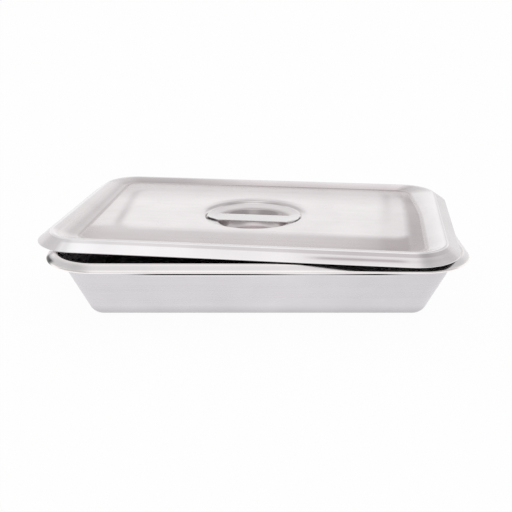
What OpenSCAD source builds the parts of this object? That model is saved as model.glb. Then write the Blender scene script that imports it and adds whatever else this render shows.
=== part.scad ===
/* [Tray] */
// Length of the tray over its rim
rim_length = 305; // [220:1:420]
// Width of the tray over its rim
rim_width = 203; // [170:1:320]
// Height of the rim's rounded top above the table
rim_height = 50; // [38:0.5:90]
// Thickness of the steel sheet of tray and lid
sheet = 0.8; // [0.5:0.1:1.2]
// Lean of the walls from the vertical, in degrees
wall_lean = 26; // [8:1:32]
// Corner radius of the flat part of the floor
floor_corner = 0.8; // [0.4:0.1:20]
// Inside radius between floor and wall
floor_bend = 10.2; // [3:0.1:12]
// Inside radius of the bend at the top of the wall
bead_bend = 1.8; // [1:0.1:3]
// Width of the rim from the top of the bend to the outer edge
flange_width = 6.2; // [5.5:0.1:14]
// Fall of the rim towards its outer edge, in degrees
flange_fall = 36; // [10:1:45]
// Inside radius of the turned outer edge
lip_bend = 0.7; // [0.5:0.1:1.2]
// Height of the straight turned edge
lip_drop = 0.8; // [0.4:0.1:4]

/* [Lid] */
// How far the lid's skirt stands out past the rim all round
overhang = 2.5; // [1.5:0.1:6]
// Height of the lid's skirt from the ridge to the lower edge
skirt_drop = 7.1; // [5.5:0.1:14]
// Slope of the skirt below the horizontal, in degrees
skirt_slope = 35; // [25:1:60]
// Inside radius of the ridge
ridge_bend = 2.2; // [1:0.1:3]
// Height of the ridge above the panel
ridge_rise = 3.6; // [2.5:0.1:8]
// Slope from the ridge down to the groove, in degrees
inner_slope = 23; // [15:1:40]
// Inside radius of the groove round the panel
groove_bend = 1.5; // [0.8:0.1:3]
// Length of the short step up from the groove
step_length = 0.5; // [0.2:0.1:3]
// Slope of the short step, in degrees
step_slope = 25; // [10:1:45]
// Inside radius at the top of the step
step_bend = 0.6; // [0.3:0.1:2]
// Width of the sloping border of the panel
border_width = 7; // [4:0.5:25]
// Slope of the border, in degrees
border_slope = 5; // [1:0.5:6]
// Radius of the soft bend from the border to the panel
panel_bend = 40; // [10:1:60]
// Corner radius of the flat part of the panel
panel_corner = 0.6; // [0.4:0.1:20]

/* [Handle recess] */
// Place of the recess along the lid, from the lid's middle
recess_x = -2.1; // [-8:0.1:8]
// Place of the recess across the lid, from the lid's middle
recess_y = -2.5; // [-8:0.1:8]
// Radius of the recess where it leaves the flat panel
dish_radius = 40; // [36:0.5:55]
// Inside radius of the recess's outer edge
dish_bend = 0.8; // [0.4:0.1:2]
// Slope of the recess's outer wall, in degrees
dish_slope = 58; // [40:1:70]
// Inside radius between the outer wall and the ledge
ledge_bend = 0.8; // [0.4:0.1:2]
// Depth of the ledge's outer edge below the panel
ledge_depth = 2.3; // [1.5:0.1:4]
// Slope of the ledge in the recess, in degrees
ledge_slope = 14; // [8:1:20]
// Radius of the finger bowl at its edge
bowl_radius = 29.5; // [24:0.5:31]
// Depth of the finger bowl below the panel
bowl_depth = 17.5; // [14:0.5:28]
// Slope of the bowl's wall, in degrees
bowl_slope = 72; // [60:1:80]
// Inside radius of the bowl's edge
bowl_edge_bend = 0.8; // [0.4:0.1:2]
// Inside radius between the bowl's wall and its floor
bowl_floor_bend = 6.2; // [3:0.1:8]

/* [Handle strap] */
// Width of the strap
strap_width = 17; // [12:0.5:22]
// Thickness of the strap
strap_thick = 1.2; // [0.8:0.1:2]
// Space between the strap's ends and the outer edge of the ledge
strap_end_gap = 0.5; // [0.3:0.1:3]
// Corner radius of the strap's ends
strap_corner = 3; // [1:0.1:5]
// Radius of the upper face where the strap bends over the bowl's edge
strap_bend = 6; // [2:0.5:12]
// Space between the strap and the ledge that the welds fill
weld_gap = 0.1; // [0.05:0.01:0.3]
// Radius of a spot weld
weld_radius = 1.5; // [1:0.1:2.5]
// Distance between the two welds of one end
weld_pitch = 8; // [6:0.5:10]
// Depth that a weld reaches into each sheet
weld_depth = 0.3; // [0.1:0.05:0.4]
// Clearance round a weld in its pocket
weld_clear = 0.03; // [0.01:0.01:0.1]

/* [Lid position] */
// Turn of the lid where it lies on the rim, in degrees
lid_turn = -7.5; // [-12:0.1:12]
// Tilt of the lid along its width, in degrees
lid_pitch = -0.72; // [-2:0.01:2]
// Tilt of the lid along its length, in degrees
lid_roll = -0.16; // [-2:0.01:2]
// Shift of the lid along the tray
lid_shift_x = -1.1; // [-8:0.1:8]
// Shift of the lid across the tray
lid_shift_y = 11.6; // [-14:0.1:14]
// Gap between the lid and the rim where they come closest
seat_gap = 0.3; // [0.2:0.05:2]

/* [Hidden] */
steel = [0.82, 0.81, 0.82];
bright_steel = [0.88, 0.87, 0.88];
weld_grey = [0.66, 0.65, 0.65];
bend_steps = 6;
$fn = 96;

// Unit vector at an angle
function unit(a) = [cos(a), sin(a)];
// Points along an arc, from angle a0 to angle a1
function arc(centre, radius, a0, a1) =
    [for (i = [0 : bend_steps]) centre + radius * unit(a0 + (a1 - a0) * i / bend_steps)];
function reverse(list) = [for (i = [len(list) - 1 : -1 : 0]) list[i]];
// A length to the nearest hundredth of a millimetre, so that sides and corners meet face to face
function hundredth(v) = round(v * 100) / 100;
// Outline of a sheet between two of its faces
function sheet_outline(face, other_face) = concat(face, reverse(other_face));

// Tray: centres of the bends, as distance from the corner centre and height
fillet_r = floor_bend + sheet;
fillet_c = [floor_corner, fillet_r];
wall_foot = fillet_c + fillet_r * unit(-wall_lean);
bead_r = bead_bend + sheet;
bead_start = bead_bend * unit(180 - wall_lean);
wall_slant = (rim_height - bead_r + bead_start[1] - wall_foot[1]) / cos(wall_lean);
bead_c = wall_foot + wall_slant * unit(90 - wall_lean) - bead_start;
lip_r = lip_bend + sheet;
flange_slant = (flange_width - lip_r - (bead_r - lip_r) * sin(flange_fall)) / cos(flange_fall);
lip_c = bead_c + (bead_r - lip_r) * unit(90 - flange_fall) + flange_slant * unit(-flange_fall);
rim_corner = lip_c[0] + lip_r;
tray_cx = hundredth(rim_length / 2 - rim_corner);
tray_cy = hundredth(rim_width / 2 - rim_corner);

// One face of the tray's sheet, at a depth in from the outside
function tray_face(depth) = concat(
    [[0, depth]],
    arc(fillet_c, fillet_r - depth, -90, -wall_lean),
    arc(bead_c, bead_bend + depth, 180 - wall_lean, 90 - flange_fall),
    arc(lip_c, lip_bend + depth, 90 - flange_fall, 0),
    [lip_c + [lip_bend + depth, -lip_drop]]
);

// Lid: centres of the bends, with the top of the panel at height 0
panel_r = panel_bend + sheet;
panel_c = [panel_corner, -panel_r];
border_end = panel_c + panel_r * unit(90 - border_slope) + border_width * unit(-border_slope);
step_r = step_bend + sheet;
step_c = border_end - step_r * unit(90 - border_slope);
step_end = step_c + step_r * unit(90 - step_slope) + step_length * unit(-step_slope);
groove_c = step_end + groove_bend * unit(90 - step_slope);
groove_end = groove_c - groove_bend * unit(90 + inner_slope);
ridge_r = ridge_bend + sheet;
ridge_start = ridge_r * unit(90 + inner_slope);
slope_slant = (ridge_rise - ridge_r + ridge_start[1] - groove_end[1]) / sin(inner_slope);
ridge_c = groove_end + slope_slant * unit(inner_slope) - ridge_start;
skirt_top = ridge_c + ridge_r * unit(90 - skirt_slope);
skirt_slant = (skirt_top[1] - ridge_rise + skirt_drop) / sin(skirt_slope);
skirt_edge = skirt_top + skirt_slant * unit(-skirt_slope);
lid_cx = hundredth(rim_length / 2 + overhang - skirt_edge[0]);
lid_cy = hundredth(rim_width / 2 + overhang - skirt_edge[0]);

// One face of the lid's sheet, at a depth below its top
function lid_face(depth) = concat(
    [[0, -depth]],
    arc(panel_c, panel_r - depth, 90, 90 - border_slope),
    arc(step_c, step_r - depth, 90 - border_slope, 90 - step_slope),
    arc(groove_c, groove_bend + depth, 270 - step_slope, 270 + inner_slope),
    arc(ridge_c, ridge_r - depth, 90 + inner_slope, 90 - skirt_slope),
    [skirt_edge - depth * unit(90 - skirt_slope)]
);

// The lid lies where its underside, measured at points all along the rim, first comes to the gap.
// Its lower edge is taken as level for one step outwards, so that no point misses it.
rim_step = 0.8;
skirt_foot = skirt_edge - sheet * unit(90 - skirt_slope);
lid_under = concat(lid_face(sheet), [skirt_foot + [rim_step, 0]]);
rim_top = [for (p = tray_face(sheet)) if (p[0] > bead_c[0] - bead_r) p];
function corner_points(r, steps) = [
    for (turn = [0, 90, 180, 270], i = [0 : steps])
        [sign(cos(turn + 45)) * tray_cx, sign(sin(turn + 45)) * tray_cy] + r * unit(turn + 90 * i / steps)
];
function long_side_points(r, steps) = [
    for (side = [-1, 1], i = [-steps : steps]) [i / steps * tray_cx, side * (tray_cy + r)]
];
function short_side_points(r, steps) = [
    for (side = [-1, 1], i = [-steps : steps]) [side * (tray_cx + r), i / steps * tray_cy]
];
function rim_points(r) = concat(
    corner_points(r, ceil(PI / 2 * r / rim_step)),
    long_side_points(r, ceil(tray_cx / rim_step)),
    short_side_points(r, ceil(tray_cy / rim_step))
);
// A point of the tray as the turned lid sees it
function in_lid(p) =
    let (q = p - [lid_shift_x, lid_shift_y])
        [q[0] * cos(lid_turn) + q[1] * sin(lid_turn), q[1] * cos(lid_turn) - q[0] * sin(lid_turn)];
// Distance of a point of the lid outside its rectangle of corner centres
function past_corners(q) = norm([max(abs(q[0]) - lid_cx, 0), max(abs(q[1]) - lid_cy, 0)]);
// Height of the lid at which its underside is level with a point of the rim
function touch_height(q, z) =
    z - lookup(past_corners(q), lid_under) + q[0] * tan(lid_roll) - q[1] * tan(lid_pitch);
lid_z = seat_gap + max([
    for (top = rim_top, p = rim_points(top[0]))
        let (q = in_lid(p))
            if (past_corners(q) < skirt_foot[0] + rim_step) touch_height(q, top[1])
]);

// Recess: centres of the bends, as distance from its axis and height.
// Its flat edge laps into the panel, so that the two are one sheet.
recess_lap = 2 * sheet;
dish_r = dish_bend + sheet;
dish_c = [dish_radius, -dish_r];
dish_wall_top = dish_c + dish_r * unit(90 + dish_slope);
ledge_fillet_start = -ledge_bend * unit(90 + dish_slope);
ledge_fillet_end = -ledge_bend * unit(90 + ledge_slope);
dish_wall_drop = dish_wall_top[1] + ledge_depth + ledge_fillet_end[1] - ledge_fillet_start[1];
dish_wall_slant = dish_wall_drop / sin(dish_slope);
ledge_fillet_c = dish_wall_top - dish_wall_slant * unit(dish_slope) - ledge_fillet_start;
ledge_top = ledge_fillet_c + ledge_fillet_end;
ledge_end = [bowl_radius, ledge_top[1] - (ledge_top[0] - bowl_radius) * tan(ledge_slope)];
bowl_edge_r = bowl_edge_bend + sheet;
bowl_edge_c = ledge_end - bowl_edge_r * unit(90 + ledge_slope);
bowl_wall_top = bowl_edge_c + bowl_edge_r * unit(90 + bowl_slope);
bowl_fillet_start = -bowl_floor_bend * unit(90 + bowl_slope);
bowl_wall_drop = bowl_wall_top[1] + bowl_depth - bowl_floor_bend - bowl_fillet_start[1];
bowl_wall_slant = bowl_wall_drop / sin(bowl_slope);
bowl_fillet_c = bowl_wall_top - bowl_wall_slant * unit(bowl_slope) - bowl_fillet_start;

// One face of the recess's sheet, at a depth below its top
function dish_face(depth) = concat(
    [[dish_radius + recess_lap, -depth]],
    arc(dish_c, dish_r - depth, 90, 90 + dish_slope),
    arc(ledge_fillet_c, ledge_bend + depth, 270 + dish_slope, 270 + ledge_slope),
    arc(bowl_edge_c, bowl_edge_r - depth, 90 + ledge_slope, 90 + bowl_slope),
    arc(bowl_fillet_c, bowl_floor_bend + depth, 270 + bowl_slope, 270),
    [[0, -bowl_depth - depth]]
);

// Strap: it lies along the ledge and runs level over the bowl
strap_reach = ledge_top[0] - strap_end_gap;
ledge_up = unit(90 + ledge_slope);
ledge_out = unit(ledge_slope);
strap_c = ledge_end + (weld_gap + strap_thick + strap_bend) * ledge_up;
strap_run = (dish_radius - ledge_end[0]) / cos(ledge_slope);

// One face of the strap, at a height above its underside
function strap_face(height) = concat(
    [[0, strap_c[1] - strap_bend - strap_thick + height]],
    arc(strap_c, strap_bend + strap_thick - height, 270, 270 + ledge_slope),
    [ledge_end + (weld_gap + height) * ledge_up + strap_run * ledge_out]
);

// Right end of the strap seen from above: an arc about the recess's axis with rounded corners
end_corner_y = strap_width / 2 - strap_corner;
end_corner_x = sqrt((strap_reach - strap_corner) ^ 2 - end_corner_y ^ 2);
end_corner_a = atan2(end_corner_y, end_corner_x);
function strap_end() = concat(
    arc([end_corner_x, -end_corner_y], strap_corner, -90, -end_corner_a),
    arc([0, 0], strap_reach, -end_corner_a, end_corner_a),
    arc([end_corner_x, end_corner_y], strap_corner, end_corner_a, 90)
);

// Middle of a weld, on the ledge's upper face
weld_r0 = (ledge_end[0] + strap_reach) / 2;
weld_mid = ledge_end + (weld_r0 - ledge_end[0]) / cos(ledge_slope) * ledge_out + weld_gap / 2 * ledge_up;
weld_turn = asin(weld_pitch / 2 / weld_r0);

// Carries a sheet's profile round a rectangle of corner centres, with a flat sheet between them
module round_sheet(half_x, half_y, profile, flat_z) {
    translate([-half_x, -half_y, flat_z])
        cube([2 * half_x, 2 * half_y, sheet]);
    for (turn = [0, 180])
        rotate(turn)
            translate([-half_x, half_y, 0])
                rotate([90, 0, 90])
                    linear_extrude(2 * half_x)
                        polygon(profile);
    for (turn = [0, 180])
        rotate(turn)
            translate([half_x, half_y, 0])
                rotate([90, 0, 0])
                    linear_extrude(2 * half_y)
                        polygon(profile);
    for (turn = [0, 180])
        rotate(turn)
            translate([half_x, half_y, 0])
                rotate_extrude(angle = 90)
                    polygon(profile);
    for (turn = [0, 180])
        rotate(turn)
            translate([-half_x, half_y, 0])
                rotate(90)
                    rotate_extrude(angle = 90)
                        polygon(profile);
}

// Puts what belongs to the lid where the lid lies on the rim
module on_rim() {
    translate([lid_shift_x, lid_shift_y, lid_z])
        rotate([lid_pitch, lid_roll, lid_turn])
            children();
}

// Puts what is round the recess's axis where the recess is on the lid
module at_recess() {
    translate([recess_x, recess_y, 0])
        children();
}

// The welds of both ends of the strap, widened by a clearance
module welds(clearance) {
    for (end_turn = [0, 180], side = [-1, 1])
        rotate(end_turn + side * weld_turn)
            translate([weld_mid[0], 0, weld_mid[1]])
                rotate([0, -ledge_slope, 0])
                    cylinder(
                        h = weld_gap + 2 * weld_depth,
                        r = weld_radius + clearance,
                        center = true
                    );
}

module tray_pan() {
    color(steel)
        round_sheet(tray_cx, tray_cy, sheet_outline(tray_face(0), tray_face(sheet)), 0);
}

module lid_cover() {
    color(steel)
        on_rim()
            difference() {
                union() {
                    difference() {
                        round_sheet(lid_cx, lid_cy, sheet_outline(lid_face(0), lid_face(sheet)), -sheet);
                        at_recess()
                            cylinder(h = 4 * sheet, r = dish_radius, center = true);
                    }
                    at_recess()
                        rotate_extrude()
                            polygon(sheet_outline(dish_face(0), dish_face(sheet)));
                }
                at_recess()
                    welds(weld_clear);
            }
}

module handle_strap() {
    color(bright_steel)
        on_rim()
            at_recess()
                difference() {
                    intersection() {
                        rotate_extrude()
                            polygon(sheet_outline(strap_face(0), strap_face(strap_thick)));
                        translate([0, 0, -bowl_depth])
                            linear_extrude(2 * bowl_depth)
                                polygon(concat(strap_end(), -strap_end()));
                    }
                    welds(weld_clear);
                }
}

module spot_welds() {
    color(weld_grey)
        on_rim()
            at_recess()
                welds(0);
}

tray_pan();
lid_cover();
handle_strap();
spot_welds();
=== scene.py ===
import math

import bmesh
import bpy
import numpy as np
from mathutils import Euler, Matrix, Vector


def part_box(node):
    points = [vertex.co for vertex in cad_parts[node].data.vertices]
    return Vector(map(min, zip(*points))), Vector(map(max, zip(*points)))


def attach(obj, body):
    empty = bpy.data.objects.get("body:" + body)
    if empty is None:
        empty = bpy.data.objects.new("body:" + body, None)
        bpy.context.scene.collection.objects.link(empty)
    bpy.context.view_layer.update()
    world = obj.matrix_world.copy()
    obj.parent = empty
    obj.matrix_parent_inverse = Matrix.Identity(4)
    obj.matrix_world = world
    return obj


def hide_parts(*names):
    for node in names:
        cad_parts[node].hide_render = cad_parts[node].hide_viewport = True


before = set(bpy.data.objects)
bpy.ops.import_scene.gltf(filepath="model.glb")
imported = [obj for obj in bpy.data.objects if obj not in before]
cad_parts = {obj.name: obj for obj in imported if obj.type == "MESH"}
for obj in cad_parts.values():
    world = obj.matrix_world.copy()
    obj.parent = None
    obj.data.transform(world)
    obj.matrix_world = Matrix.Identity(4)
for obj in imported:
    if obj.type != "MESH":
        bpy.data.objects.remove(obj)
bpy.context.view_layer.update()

# Sizes of the sheet and its bends in millimetres and degrees, as in the part's source
MM = 0.001
SHEET = 0.8
WALL_LEAN = 26
FLOOR_CORNER = 0.8
FLOOR_BEND = 10.2
BEAD_BEND = 1.8
FLANGE_WIDTH = 6.2
FLANGE_FALL = 36
LIP_BEND = 0.7
OVERHANG = 2.5
SKIRT_DROP = 7.1
SKIRT_SLOPE = 35
RIDGE_BEND = 2.2
RIDGE_RISE = 3.6
INNER_SLOPE = 23
GROOVE_BEND = 1.5
STEP_LENGTH = 0.5
STEP_SLOPE = 25
STEP_BEND = 0.6
BORDER_WIDTH = 7
BORDER_SLOPE = 5
PANEL_BEND = 40
PANEL_CORNER = 0.6
RECESS_X = -2.1
RECESS_Y = -2.5
DISH_SLOPE = 58
LEDGE_BEND = 0.8
LEDGE_DEPTH = 2.3
LEDGE_SLOPE = 14
BOWL_RADIUS = 29.5
BOWL_DEPTH = 17.5
BOWL_SLOPE = 72
BOWL_EDGE_BEND = 0.8
BOWL_FLOOR_BEND = 6.2
STRAP_WIDTH = 17
STRAP_THICK = 1.2
STRAP_END_GAP = 0.5
STRAP_CORNER = 3
STRAP_BEND = 6
WELD_GAP = 0.1

# Sizes that differ a little from the source: the rim's turned edge is shorter, the edge of the recess is
# softer with the ledge in the same place, and the edges of the strap are rounded
LIP_DROP = 0.5
DISH_RADIUS = 40.66
DISH_BEND = 2.0
STRAP_EDGE = 0.2

# Where the lid lies on the rim: turn and tilts in degrees, shift in millimetres
LID_TURN = -7.5
LID_PITCH = -0.72
LID_ROLL = -0.16
LID_SHIFT = (-1.1, 11.6)

# The rim's length, width and height come from the frame
tray_low, tray_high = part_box("tray_pan")
RIM_LENGTH, RIM_WIDTH, RIM_HEIGHT = (round(v / MM) for v in tray_high - tray_low)

# Steps of the mesh: round a bend, along a slope, round a corner, along the sides and across the panel
BEND_STEPS = 9
SLOPE_STEPS = 4
CORNER_STEPS = 24
LONG_STEPS = 64
SHORT_STEPS = 40
PANEL_STEPS = 34
# Power that crowds the panel's rows towards its border
PANEL_CROWD = 1.4
# Steps along the ledge of the recess, the slope inside the ridge, the skirt and round the strap's edges
LEDGE_STEPS = 8
INNER_STEPS = 12
SKIRT_STEPS = 24
STRAP_EDGE_STEPS = 4
# Rows of the tray's floor and of the strap's faces, as shares of their full size
FLOOR_ROWS = (0.1, 0.35, 0.6, 0.85)
STRAP_ROWS = (0, 0.25, 0.5, 0.75, 0.92)
# Rows of the wall by height: far apart up to a height, close together round the line under the rim, then the
# last ones below the bend at the wall's top, and how far all of them stay below that
WALL_PLAIN_ROWS, WALL_PLAIN_TOP = 9, 36
WALL_FINE_ROWS = (36.3, 42, 0.3)
WALL_LAST_ROWS = [43, 44.5]
WALL_CLEAR = 0.2
# Points of a mesh nearer than this, in metres, become one
WELD_DISTANCE = 1e-7


def unit(angle):
    """Unit vector at an angle in degrees"""
    return np.array([math.cos(math.radians(angle)), math.sin(math.radians(angle))])


def tan(angle):
    return math.tan(math.radians(angle))


def arc(centre, radius, start, end, steps=BEND_STEPS):
    """Points along an arc of a profile"""
    return [centre + radius * unit(a) for a in np.linspace(start, end, steps + 1)]


def between(first, last, steps=SLOPE_STEPS):
    """Points inside a straight stretch, without its ends"""
    first, last = np.array(first, float), np.array(last, float)
    return [first + (last - first) * i / steps for i in range(1, steps)]


def smooth(value, low, high):
    """0 below a range, 1 above it and a soft rise inside it"""
    share = np.clip((value - low) / (high - low), 0, 1)
    return share * share * (3 - 2 * share)


def within(value, rise, fall):
    """1 between two ranges, with a soft rise in the first and a soft fall in the second"""
    return smooth(value, *rise) * (1 - smooth(value, *fall))


def peak(value, place, width):
    """1 at a place, and less and less to both sides of it"""
    return np.exp(-((value - place) / width) ** 2)


class Ring:
    """Stations round a rectangle of corner centres, and the matching stations round a circle"""

    def __init__(self, half_x, half_y):
        base, out, inward = [], [], []
        corners = [(1, 1), (-1, 1), (-1, -1), (1, -1)]
        for k, (sx, sy) in enumerate(corners):
            centre = np.array([sx * half_x, sy * half_y])
            for i in range(CORNER_STEPS):
                base.append(centre)
                out.append(unit(90 * k + 90 * i / CORNER_STEPS))
                inward.append(0)
            after = np.array(corners[(k + 1) % 4]) * [half_x, half_y]
            steps = LONG_STEPS if k % 2 == 0 else SHORT_STEPS
            for i in range(steps):
                base.append(centre + (after - centre) * i / steps)
                out.append(unit(90 * (k + 1)))
                inward.append(np.linalg.norm(after - centre) * min(i, steps - i) / steps)
        self.base = np.array(base)
        self.out = np.array(out)
        # How far in from the corners a station lies along its side
        self.inward = np.array(inward)
        self.count = len(base)
        start = math.degrees(math.atan2(half_y, half_x))
        turn = start + 360 * np.arange(self.count) / self.count - 0.5 * 90 * CORNER_STEPS / self.count
        self.spoke = np.array([unit(a) for a in turn])
        self.front, self.back = self.facing(0, -1), self.facing(0, 1)
        self.left, self.right = self.facing(-1, 0), self.facing(1, 0)

    def rim(self, point):
        """Row at a distance out from the corner centres, and a height"""
        return np.column_stack([self.base + point[0] * self.out, np.full(self.count, point[1])])

    def circle(self, point):
        """Row at a distance from the middle, and a height"""
        return np.column_stack([point[0] * self.spoke, np.full(self.count, point[1])])

    def facing(self, x, y):
        """How far each station faces a direction, from 0 to 1"""
        return np.maximum(self.out @ np.array([x, y]), 0) ** 2

    def lengths(self, point):
        """Distance along a rim row, from its first station to each station and back to the first"""
        row = self.rim(point)
        steps = np.linalg.norm(np.roll(row, -1, axis=0) - row, axis=1)
        return np.concatenate([[0], np.cumsum(steps)])


class Sheet:
    """Rings of points of a closed sheet. Each point has a polish from 0 to 1 and a shade of its colour, which
    is painted light and shade.
    Rows marked as around have their grain along the ring, and the others along X."""

    def __init__(self):
        self.rows, self.polish, self.shade, self.around = [], [], [], []

    def add(self, row, polish, shade=1.0, around=True):
        self.rows.append(np.array(row, float))
        self.polish.append(np.broadcast_to(polish, len(row)))
        self.shade.append(np.broadcast_to(shade, len(row)))
        self.around.append(around)


def mesh_object(name, sheet, lengths, pose=Matrix.Identity(4), bounds=None, seam=False):
    """A closed smooth mesh from a sheet, with its polish, its shade and a grain map in metres. Its end rows
    close round a middle point, or along a seam if each of them lies on a line."""
    rows, around = sheet.rows, sheet.around
    count = len(rows[0])
    first, last = len(rows) * count, len(rows) * count + 1
    points = np.concatenate(rows if seam else rows + [[rows[0].mean(axis=0), rows[-1].mean(axis=0)]])
    steps = [np.linalg.norm(b[0] - a[0]) for a, b in zip(rows, rows[1:])]
    travel = np.concatenate([[0], np.cumsum(steps)])
    faces, grain = [], []
    for j in range(len(rows) - 1):
        here, ahead = travel[j], travel[j + 1]
        for i in range(count):
            k = (i + 1) % count
            face = (j * count + i, j * count + k, (j + 1) * count + k, (j + 1) * count + i)
            faces.append(face)
            if around[j] and around[j + 1]:
                start, end = lengths[i], lengths[i + 1]
                grain.append([(start, here), (end, here), (end, ahead), (start, ahead)])
            else:
                grain.append([tuple(points[v][:2]) for v in face])
    for i in range(0 if seam else count):
        k = (i + 1) % count
        tail = (len(rows) - 1) * count
        for face in ((first, k, i), (last, tail + i, tail + k)):
            faces.append(face)
            grain.append([tuple(points[v][:2]) for v in face])
    world = points * MM @ np.array(pose.to_3x3()).T + np.array(pose.translation)
    if bounds is not None:
        world = np.clip(world, bounds[0], bounds[1])
    mesh = bpy.data.meshes.new(name)
    mesh.from_pydata(world.tolist(), [], faces)
    layer = mesh.uv_layers.new(name="grain")
    flat = np.array([uv for face in grain for uv in face]) * MM
    layer.data.foreach_set("uv", flat.astype(np.float32).ravel())
    for key, values in (("polish", sheet.polish), ("shade", sheet.shade)):
        attribute = mesh.attributes.new(key, "FLOAT", "POINT")
        every = np.concatenate(values if seam else values + [[values[0].mean(), values[-1].mean()]])
        attribute.data.foreach_set("value", every.astype(np.float32))
    turned = bmesh.new()
    turned.from_mesh(mesh)
    bmesh.ops.remove_doubles(turned, verts=turned.verts, dist=WELD_DISTANCE)
    bmesh.ops.recalc_face_normals(turned, faces=turned.faces)
    turned.to_mesh(mesh)
    turned.free()
    mesh.shade_smooth()
    piece = bpy.data.objects.new(name, mesh)
    bpy.context.scene.collection.objects.link(piece)
    return piece


# Tray: centres of the bends, as distance from the corner centre and height
fillet_r = FLOOR_BEND + SHEET
fillet_c = np.array([FLOOR_CORNER, fillet_r])
wall_foot = fillet_c + fillet_r * unit(-WALL_LEAN)
bead_r = BEAD_BEND + SHEET
bead_start = BEAD_BEND * unit(180 - WALL_LEAN)
wall_slant = (RIM_HEIGHT - bead_r + bead_start[1] - wall_foot[1]) / math.cos(math.radians(WALL_LEAN))
bead_c = wall_foot + wall_slant * unit(90 - WALL_LEAN) - bead_start
lip_r = LIP_BEND + SHEET
fall_cos, fall_sin = unit(FLANGE_FALL)
flange_slant = (FLANGE_WIDTH - lip_r - (bead_r - lip_r) * fall_sin) / fall_cos
lip_c = bead_c + (bead_r - lip_r) * unit(90 - FLANGE_FALL) + flange_slant * unit(-FLANGE_FALL)
rim_corner = lip_c[0] + lip_r
TRAY_HALF = (RIM_LENGTH / 2 - rim_corner, RIM_WIDTH / 2 - rim_corner)
EDGE_R = SHEET / 2
# Points of the outside this far in from the centre of the bend at the wall's top belong to the wall
WALL_INSIDE = 0.5

# Polish of the parts of the tray, with the floor's from below and from above
FLOOR_POLISH = (0.25, 0.35)
FILLET_POLISH = 0.30
WALL_POLISH = 0.35
BEAD_POLISH = 0.95
FLANGE_POLISH = 0.60
LIP_POLISH = 1.0

# Painted light and shade, here and for the lid: a range is where a painted tone comes in or goes out, in
# millimetres unless said otherwise. A depth is how far the tone darkens the sheet, and a rise is how far it
# lightens it.
# Wall: two painted shades at its foot by height, where it meets the floor, and a darker painted tone towards
# the right of its front
FOOT_HIGH, FOOT_HIGH_DEPTH = (0, 10), 0.30
FOOT_LOW, FOOT_LOW_DEPTH = (0.7, 1.9), 0.38
WALL_RIGHT, WALL_RIGHT_DEPTH = (10, 110), 0.06
# Painted shadow line under the rim and painted glint below it, by height, and the line's ends by the distance
# from the corners
LINE, LINE_DEPTH = (39.0, 39.3), 0.98
GLINT_FROM, GLINT_TO, GLINT_RISE = (37.9, 38.3), (38.6, 39.0), 0.25
LINE_ENDS = (5, 32)
# At the front, the line begins late at the left and is faint round one place
LINE_LEFT = (-97, -68)
FAINT_X, FAINT_WIDTH, FAINT_SHARE = 39, 26, 0.8
# Rim: its flat part has a greyer painted shade, by the distances out from the centres of its bend and of its
# edge. Its edge has a painted highlight below a height over the edge's centre.
FLANGE_FROM, FLANGE_TO, FLANGE_DEPTH = (1, 2), (0.8, 1.0), 0.15
EDGE_TOP, EDGE_SOFT, EDGE_RISE = 1.22, 0.2, 0.20
# Painted dark reflection on the rim's front left corner: across it from the edge's centre, and round it in
# degrees from the left
SPOT_ACROSS, SPOT_DEPTH = (-1.8, -0.2), 0.95
SPOT_FROM, SPOT_TO = (8, 15), (30, 40)


def tray_face(depth):
    """One face of the tray's sheet at a depth in from the outside, with a polish at each point"""
    fillet = arc(fillet_c, fillet_r - depth, -90, -WALL_LEAN)
    bead = arc(bead_c, BEAD_BEND + depth, 180 - WALL_LEAN, 90 - FLANGE_FALL, 2 * BEND_STEPS)
    lip = arc(lip_c, LIP_BEND + depth, 90 - FLANGE_FALL, 0)
    edge = [lip_c + [LIP_BEND + depth, EDGE_R - LIP_DROP]]
    foot, head = fillet[-1], bead[0]
    plain = np.linspace(foot[1], WALL_PLAIN_TOP, WALL_PLAIN_ROWS)[1:]
    heights = np.concatenate([plain, np.arange(*WALL_FINE_ROWS), WALL_LAST_ROWS])
    heights = heights[heights < head[1] - WALL_CLEAR]
    wall = [foot + (head - foot) * (z - foot[1]) / (head[1] - foot[1]) for z in heights]
    stretches = [
        (fillet, FILLET_POLISH),
        (wall, WALL_POLISH),
        (bead, BEAD_POLISH),
        (between(bead[-1], lip[0]), FLANGE_POLISH),
        (lip + edge, LIP_POLISH),
    ]
    return [(p, shine) for points, shine in stretches for p in points]


def under_rim(ring, height):
    """Painted shade of the wall's outside: darker at its foot, a painted shadow line under the rim and a
    painted glint below that
    """
    along = ring.base[:, 0]
    foot = FOOT_HIGH_DEPTH * (1 - smooth(height, *FOOT_HIGH))
    foot = foot + FOOT_LOW_DEPTH * (1 - smooth(height, *FOOT_LOW))
    right = WALL_RIGHT_DEPTH * smooth(along, *WALL_RIGHT) * ring.front
    faint = (FAINT_SHARE * peak(along, FAINT_X, FAINT_WIDTH) + 1 - smooth(along, *LINE_LEFT)) * ring.front
    line = GLINT_RISE * within(height, GLINT_FROM, GLINT_TO) - LINE_DEPTH * smooth(height, *LINE)
    return 1 - foot - right + smooth(ring.inward, *LINE_ENDS) * line * (1 - faint)


def rim_edge(ring, point):
    """Painted shade of the rim's upper side: greyer between bend and edge, a painted highlight on the edge,
    and a painted dark reflection at the left corner
    """
    past_bead, past_lip = point[0] - bead_c[0], point[0] - lip_c[0]
    flat = smooth(past_bead, *FLANGE_FROM) * (1 - smooth(past_lip, *FLANGE_TO))
    edge = smooth(lip_c[1] + EDGE_TOP - point[1], 0, EDGE_SOFT) * (past_lip > 0)
    turn = np.degrees(np.arctan2(-ring.out[:, 1], -ring.out[:, 0]))
    spot = within(turn, SPOT_FROM, SPOT_TO) * (ring.inward == 0)
    shade = 1 - FLANGE_DEPTH * flat * ring.front + EDGE_RISE * edge * (1 - spot)
    return shade - SPOT_DEPTH * smooth(past_lip, *SPOT_ACROSS) * spot


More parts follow.
